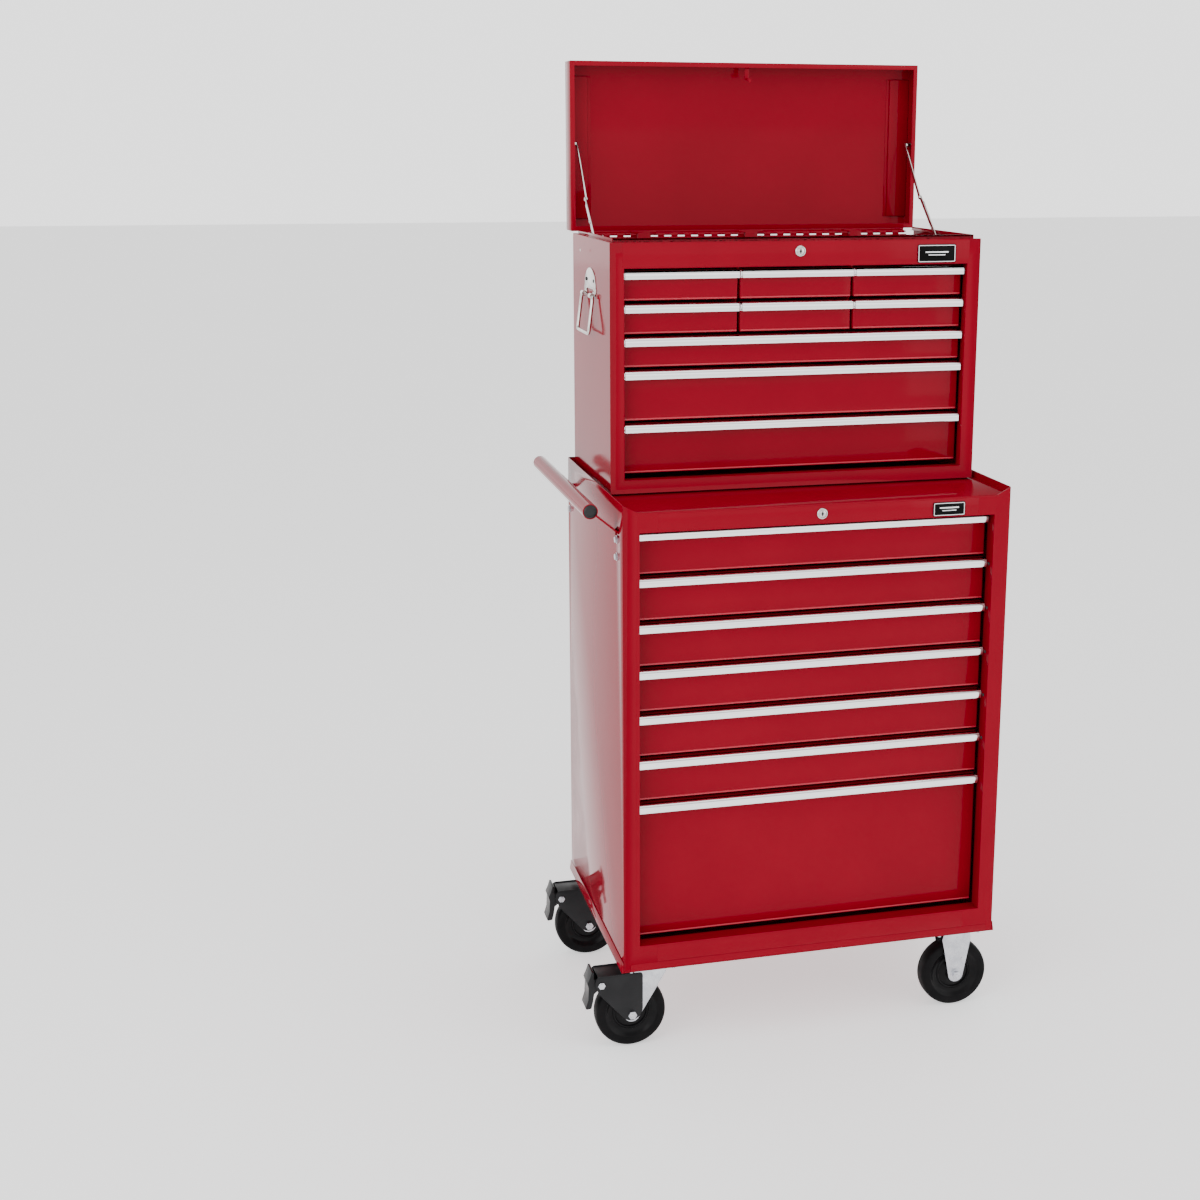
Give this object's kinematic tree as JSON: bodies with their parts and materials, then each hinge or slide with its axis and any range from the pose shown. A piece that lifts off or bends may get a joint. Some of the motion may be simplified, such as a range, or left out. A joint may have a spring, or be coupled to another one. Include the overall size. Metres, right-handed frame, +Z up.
{
  "type": "rolling tool chest",
  "caption": "Tall sheet-steel roller cabinet with full-width drawers, a smaller drawer chest with a lift-up lidded till on top, side push handle and casters",
  "frame": {"origin": "on the floor, under the middle of the outline's box with the lid open", "axes": "+Z up, the drawers open towards -Y, the push handle is on the -X side"},
  "size_m": [0.749, 0.499, 1.6839],
  "materials": {
    "red_paint": "deep red gloss enamel on sheet steel",
    "aluminium": "bright drawn aluminium",
    "zinc_plate": "bright zinc-plated steel",
    "nickel_plate": "nickel-plated steel rod",
    "black_steel": "satin black enamel",
    "black_rubber": "dark grey moulded tread and web"
  },
  "bodies": {
    "carcass": {"cabinet_shell": "red_paint", "cabinet_face_frame": "red_paint", "cabinet_top_tray": "red_paint", "cabinet_base": "red_paint", "push_handle": "red_paint", "caster_fork_right_front": "zinc_plate", "caster_fork_right_rear": "zinc_plate", "chest_shell": "red_paint", "chest_face_frame": "red_paint", "chest_inner_frame": "red_paint", "hinge_leaf": "red_paint"},
    "cabinet_drawer_1": {"cabinet_drawer_1": "red_paint", "cabinet_drawer_1_pull": "aluminium"},
    "cabinet_drawer_2": {"cabinet_drawer_2": "red_paint", "cabinet_drawer_2_pull": "aluminium"},
    "cabinet_drawer_3": {"cabinet_drawer_3": "red_paint", "cabinet_drawer_3_pull": "aluminium"},
    "cabinet_drawer_4": {"cabinet_drawer_4": "red_paint", "cabinet_drawer_4_pull": "aluminium"},
    "cabinet_drawer_5": {"cabinet_drawer_5": "red_paint", "cabinet_drawer_5_pull": "aluminium"},
    "cabinet_drawer_6": {"cabinet_drawer_6": "red_paint", "cabinet_drawer_6_pull": "aluminium"},
    "cabinet_drawer_7": {"cabinet_drawer_7": "red_paint", "cabinet_drawer_7_pull": "aluminium"},
    "chest_drawer_r1_left": {"chest_drawer_r1_left": "red_paint", "chest_drawer_r1_left_pull": "aluminium"},
    "chest_drawer_r1_middle": {"chest_drawer_r1_middle": "red_paint", "chest_drawer_r1_middle_pull": "aluminium"},
    "chest_drawer_r1_right": {"chest_drawer_r1_right": "red_paint", "chest_drawer_r1_right_pull": "aluminium"},
    "chest_drawer_r2_left": {"chest_drawer_r2_left": "red_paint", "chest_drawer_r2_left_pull": "aluminium"},
    "chest_drawer_r2_middle": {"chest_drawer_r2_middle": "red_paint", "chest_drawer_r2_middle_pull": "aluminium"},
    "chest_drawer_r2_right": {"chest_drawer_r2_right": "red_paint", "chest_drawer_r2_right_pull": "aluminium"},
    "chest_drawer_r3": {"chest_drawer_r3": "red_paint", "chest_drawer_r3_pull": "aluminium"},
    "chest_drawer_r4": {"chest_drawer_r4": "red_paint", "chest_drawer_r4_pull": "aluminium"},
    "chest_drawer_r5": {"chest_drawer_r5": "red_paint", "chest_drawer_r5_pull": "aluminium"},
    "lid": {"lid": "red_paint"},
    "stay_left_lower": {"stay_left_lower": "zinc_plate"},
    "stay_left_upper": {"stay_left_upper": "zinc_plate"},
    "stay_right_lower": {"stay_right_lower": "zinc_plate"},
    "stay_right_upper": {"stay_right_upper": "zinc_plate"},
    "carry_bail_left": {"carry_bail_left": "nickel_plate"},
    "carry_bail_right": {"carry_bail_right": "nickel_plate"},
    "cabinet_lock": {"cabinet_lock": "zinc_plate"},
    "chest_lock": {"chest_lock": "zinc_plate"},
    "caster_fork_left_front": {"caster_fork_left_front": "zinc_plate"},
    "caster_fork_left_rear": {"caster_fork_left_rear": "zinc_plate"},
    "brake_pedal_front": {"brake_pedal_front": "black_steel"},
    "brake_pedal_rear": {"brake_pedal_rear": "black_steel"},
    "wheel_left_front": {"wheel_left_front": "black_rubber"},
    "wheel_left_rear": {"wheel_left_rear": "black_rubber"},
    "wheel_right_front": {"wheel_right_front": "black_rubber"},
    "wheel_right_rear": {"wheel_right_rear": "black_rubber"}
  },
  "joints": [
    {"name": "cabinet_drawer_1_slide", "type": "slide", "parent": "carcass", "child": "cabinet_drawer_1", "axis": [0, -1, 0], "range_m": [0, 0.33]},
    {"name": "cabinet_drawer_2_slide", "type": "slide", "parent": "carcass", "child": "cabinet_drawer_2", "axis": [0, -1, 0], "range_m": [0, 0.33]},
    {"name": "cabinet_drawer_3_slide", "type": "slide", "parent": "carcass", "child": "cabinet_drawer_3", "axis": [0, -1, 0], "range_m": [0, 0.33]},
    {"name": "cabinet_drawer_4_slide", "type": "slide", "parent": "carcass", "child": "cabinet_drawer_4", "axis": [0, -1, 0], "range_m": [0, 0.33]},
    {"name": "cabinet_drawer_5_slide", "type": "slide", "parent": "carcass", "child": "cabinet_drawer_5", "axis": [0, -1, 0], "range_m": [0, 0.33]},
    {"name": "cabinet_drawer_6_slide", "type": "slide", "parent": "carcass", "child": "cabinet_drawer_6", "axis": [0, -1, 0], "range_m": [0, 0.33]},
    {"name": "cabinet_drawer_7_slide", "type": "slide", "parent": "carcass", "child": "cabinet_drawer_7", "axis": [0, -1, 0], "range_m": [0, 0.33]},
    {"name": "chest_drawer_r1_left_slide", "type": "slide", "parent": "carcass", "child": "chest_drawer_r1_left", "axis": [0, -1, 0], "range_m": [0, 0.22]},
    {"name": "chest_drawer_r1_middle_slide", "type": "slide", "parent": "carcass", "child": "chest_drawer_r1_middle", "axis": [0, -1, 0], "range_m": [0, 0.22]},
    {"name": "chest_drawer_r1_right_slide", "type": "slide", "parent": "carcass", "child": "chest_drawer_r1_right", "axis": [0, -1, 0], "range_m": [0, 0.22]},
    {"name": "chest_drawer_r2_left_slide", "type": "slide", "parent": "carcass", "child": "chest_drawer_r2_left", "axis": [0, -1, 0], "range_m": [0, 0.22]},
    {"name": "chest_drawer_r2_middle_slide", "type": "slide", "parent": "carcass", "child": "chest_drawer_r2_middle", "axis": [0, -1, 0], "range_m": [0, 0.22]},
    {"name": "chest_drawer_r2_right_slide", "type": "slide", "parent": "carcass", "child": "chest_drawer_r2_right", "axis": [0, -1, 0], "range_m": [0, 0.22]},
    {"name": "chest_drawer_r3_slide", "type": "slide", "parent": "carcass", "child": "chest_drawer_r3", "axis": [0, -1, 0], "range_m": [0, 0.22]},
    {"name": "chest_drawer_r4_slide", "type": "slide", "parent": "carcass", "child": "chest_drawer_r4", "axis": [0, -1, 0], "range_m": [0, 0.22]},
    {"name": "chest_drawer_r5_slide", "type": "slide", "parent": "carcass", "child": "chest_drawer_r5", "axis": [0, -1, 0], "range_m": [0, 0.22]},
    {"name": "lid_hinge", "type": "hinge", "parent": "carcass", "child": "lid", "pos_m": [0.02875, 0.2015, 1.3789], "axis": [1, 0, 0], "range_deg": [0, 90]},
    {"name": "stay_left_foot", "type": "hinge", "parent": "carcass", "child": "stay_left_lower", "pos_m": [-0.28945, 0.0465, 1.3609], "axis": [1, 0, 0], "range_deg": [-23.3, 1]},
    {"name": "stay_left_head", "type": "hinge", "parent": "lid", "child": "stay_left_upper", "pos_m": [-0.28765, 0.2225, 1.5389], "axis": [1, 0, 0], "range_deg": [-1, 41.3]},
    {"name": "stay_right_foot", "type": "hinge", "parent": "carcass", "child": "stay_right_lower", "pos_m": [0.34695, 0.0465, 1.3609], "axis": [1, 0, 0], "range_deg": [-23.3, 1]},
    {"name": "stay_right_head", "type": "hinge", "parent": "lid", "child": "stay_right_upper", "pos_m": [0.34515, 0.2225, 1.5389], "axis": [1, 0, 0], "range_deg": [-1, 41.3]},
    {"name": "carry_bail_left_swing", "type": "hinge", "parent": "carcass", "child": "carry_bail_left", "pos_m": [-0.30625, 0.044, 1.2851], "axis": [0, 1, 0], "range_deg": [0, 80]},
    {"name": "carry_bail_right_swing", "type": "hinge", "parent": "carcass", "child": "carry_bail_right", "pos_m": [0.36375, 0.044, 1.2851], "axis": [0, -1, 0], "range_deg": [0, 80]},
    {"name": "cabinet_lock_turn", "type": "hinge", "parent": "carcass", "child": "cabinet_lock", "pos_m": [0.02875, -0.2465, 0.9408], "axis": [0, 1, 0], "range_deg": [0, 90]},
    {"name": "chest_lock_turn", "type": "hinge", "parent": "carcass", "child": "chest_lock", "pos_m": [0.02875, -0.1085, 1.3645], "axis": [0, 1, 0], "range_deg": [0, 90]},
    {"name": "caster_left_front_swivel", "type": "hinge", "parent": "carcass", "child": "caster_fork_left_front", "pos_m": [-0.25625, -0.2, 0.0625], "axis": [0, 0, 1], "continuous": true},
    {"name": "wheel_left_front_spin", "type": "hinge", "parent": "caster_fork_left_front", "child": "wheel_left_front", "pos_m": [-0.29125, -0.2, 0.0625], "axis": [0, 1, 0], "continuous": true},
    {"name": "wheel_right_front_spin", "type": "hinge", "parent": "carcass", "child": "wheel_right_front", "pos_m": [0.31375, -0.2, 0.0625], "axis": [0, 1, 0], "continuous": true},
    {"name": "brake_pedal_front_rock", "type": "hinge", "parent": "caster_fork_left_front", "child": "brake_pedal_front", "pos_m": [-0.34525, -0.2, 0.1235], "axis": [0, 1, 0], "range_deg": [0, 10]},
    {"name": "caster_left_rear_swivel", "type": "hinge", "parent": "carcass", "child": "caster_fork_left_rear", "pos_m": [-0.25625, 0.163, 0.0625], "axis": [0, 0, 1], "continuous": true},
    {"name": "wheel_left_rear_spin", "type": "hinge", "parent": "caster_fork_left_rear", "child": "wheel_left_rear", "pos_m": [-0.29125, 0.163, 0.0625], "axis": [0, 1, 0], "continuous": true},
    {"name": "wheel_right_rear_spin", "type": "hinge", "parent": "carcass", "child": "wheel_right_rear", "pos_m": [0.31375, 0.163, 0.0625], "axis": [0, 1, 0], "continuous": true},
    {"name": "brake_pedal_rear_rock", "type": "hinge", "parent": "caster_fork_left_rear", "child": "brake_pedal_rear", "pos_m": [-0.34525, 0.163, 0.1235], "axis": [0, 1, 0], "range_deg": [0, 10]}
  ],
  "couplings": [
    {"joint": "stay_left_foot", "follows": "lid_hinge", "ratio": -0.2533},
    {"joint": "stay_left_head", "follows": "lid_hinge", "ratio": 0.4528},
    {"joint": "stay_right_foot", "follows": "lid_hinge", "ratio": -0.2533},
    {"joint": "stay_right_head", "follows": "lid_hinge", "ratio": 0.4528}
  ]
}
